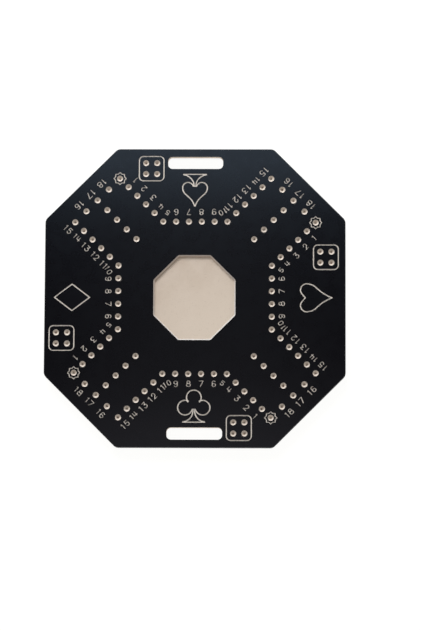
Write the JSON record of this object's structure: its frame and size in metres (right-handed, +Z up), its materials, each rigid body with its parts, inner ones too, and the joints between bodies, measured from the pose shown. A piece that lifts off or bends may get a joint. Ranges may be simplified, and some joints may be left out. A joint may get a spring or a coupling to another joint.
{
  "type": "marble and card board game board",
  "caption": "Flat octagonal black-faced game board with marble seats along a ring track, engraved numbers and card suits, a sunk card tray, hand slots and rubber feet.",
  "frame": {"origin": "middle of the footprint, on the surface that the four feet stand on", "axes": "+Z up out of the playing face; -Y towards the front player, whose suit is the club; +X to the front player's right; the hand slots lie along X at -Y and +Y"},
  "size_m": [0.5, 0.5, 0.0176],
  "materials": {
    "core": "bare machined fibreboard",
    "laminate": "satin black laminate",
    "edge": "matte black edge band",
    "rubber": "matte",
    "washer": "plain steel",
    "screw": "zinc plated"
  },
  "bodies": {
    "root": {"core_board": "core", "top_laminate": "laminate", "bottom_laminate": "laminate", "edge_band": "edge", "rubber_foot_front_left": "rubber", "rubber_foot_front_right": "rubber", "rubber_foot_rear_left": "rubber", "rubber_foot_rear_right": "rubber", "foot_washer_front_left": "washer", "foot_washer_front_right": "washer", "foot_washer_rear_left": "washer", "foot_washer_rear_right": "washer", "foot_screw_front_left": "screw", "foot_screw_front_right": "screw", "foot_screw_rear_left": "screw", "foot_screw_rear_right": "screw"}
  },
  "joints": []
}
